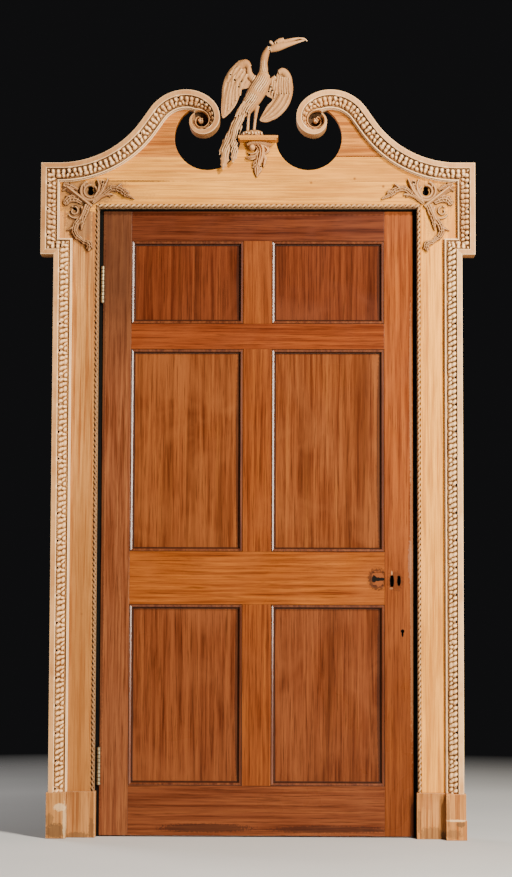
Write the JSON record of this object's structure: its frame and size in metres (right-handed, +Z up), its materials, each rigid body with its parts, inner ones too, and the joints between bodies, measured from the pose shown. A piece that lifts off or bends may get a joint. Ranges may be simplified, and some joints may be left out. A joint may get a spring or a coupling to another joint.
{
  "type": "carved door surround",
  "caption": "Carved pine door surround with eared architrave, rope twist, acanthus sprays, scrolled swan-neck head and ho-ho bird, round a hinged panelled mahogany door.",
  "frame": {"origin": "On the back of the upper head board, in the wall plane, on the centre line of the doorway, 2.273 m above the floor. The floor is at Z = -2.273 m.", "axes": "+Z up; the carved front looks along -Y and the wall is on the +Y side; +X is to the right seen from the front."},
  "size_m": [1.482, 0.202, 2.727],
  "materials": {
    "pine": "bare stripped pine, dry and matt, with pale scrubbed arrises",
    "carving": "bare carved pine, darker in the cuts",
    "mahogany": "old waxed mahogany, satin",
    "lining": "dark paint, matt",
    "brass": "dull aged brass"
  },
  "bodies": {
    "surround": {"jamb_board_left": "pine", "jamb_board_right": "pine", "head_board_lower": "pine", "head_board_upper": "pine", "neck_board_left": "pine", "neck_board_right": "pine", "plinth_inner_left": "pine", "plinth_inner_right": "pine", "plinth_outer_left": "pine", "plinth_outer_right": "pine", "pedestal_cap": "pine", "backband_jamb_left": "carving", "backband_jamb_right": "carving", "ear_return_left": "carving", "ear_return_right": "carving", "ear_side_left": "carving", "ear_side_right": "carving", "swan_neck_left": "carving", "swan_neck_right": "carving", "rope_jamb_left": "carving", "rope_jamb_right": "carving", "rope_head": "carving", "corner_spray_left": "carving", "corner_spray_right": "carving", "pedestal_leaf": "carving", "phoenix": "carving", "lining_left": "lining", "lining_right": "lining", "lining_head": "lining", "hinge_frame_leaf_upper": "brass", "hinge_frame_leaf_lower": "brass"},
    "door": {"door_stile_hinge": "mahogany", "door_stile_lock": "mahogany", "door_rail_bottom": "mahogany", "door_rail_lock": "mahogany", "door_rail_frieze": "mahogany", "door_rail_top": "mahogany", "door_muntin_bottom": "mahogany", "door_muntin_middle": "mahogany", "door_muntin_top": "mahogany", "door_panel_bottom_left": "mahogany", "door_moulding_bottom_left": "mahogany", "door_panel_bottom_right": "mahogany", "door_moulding_bottom_right": "mahogany", "door_panel_middle_left": "mahogany", "door_moulding_middle_left": "mahogany", "door_panel_middle_right": "mahogany", "door_moulding_middle_right": "mahogany", "door_panel_top_left": "mahogany", "door_moulding_top_left": "mahogany", "door_panel_top_right": "mahogany", "door_moulding_top_right": "mahogany", "hinge_door_leaf_upper": "brass", "hinge_door_leaf_lower": "brass"}
  },
  "joints": [
    {"name": "door_hinge", "type": "hinge", "parent": "surround", "child": "door", "pos_m": [-0.5325, -0.007, -2.037], "axis": [0, 0, -1], "range_deg": [0, 110]}
  ]
}
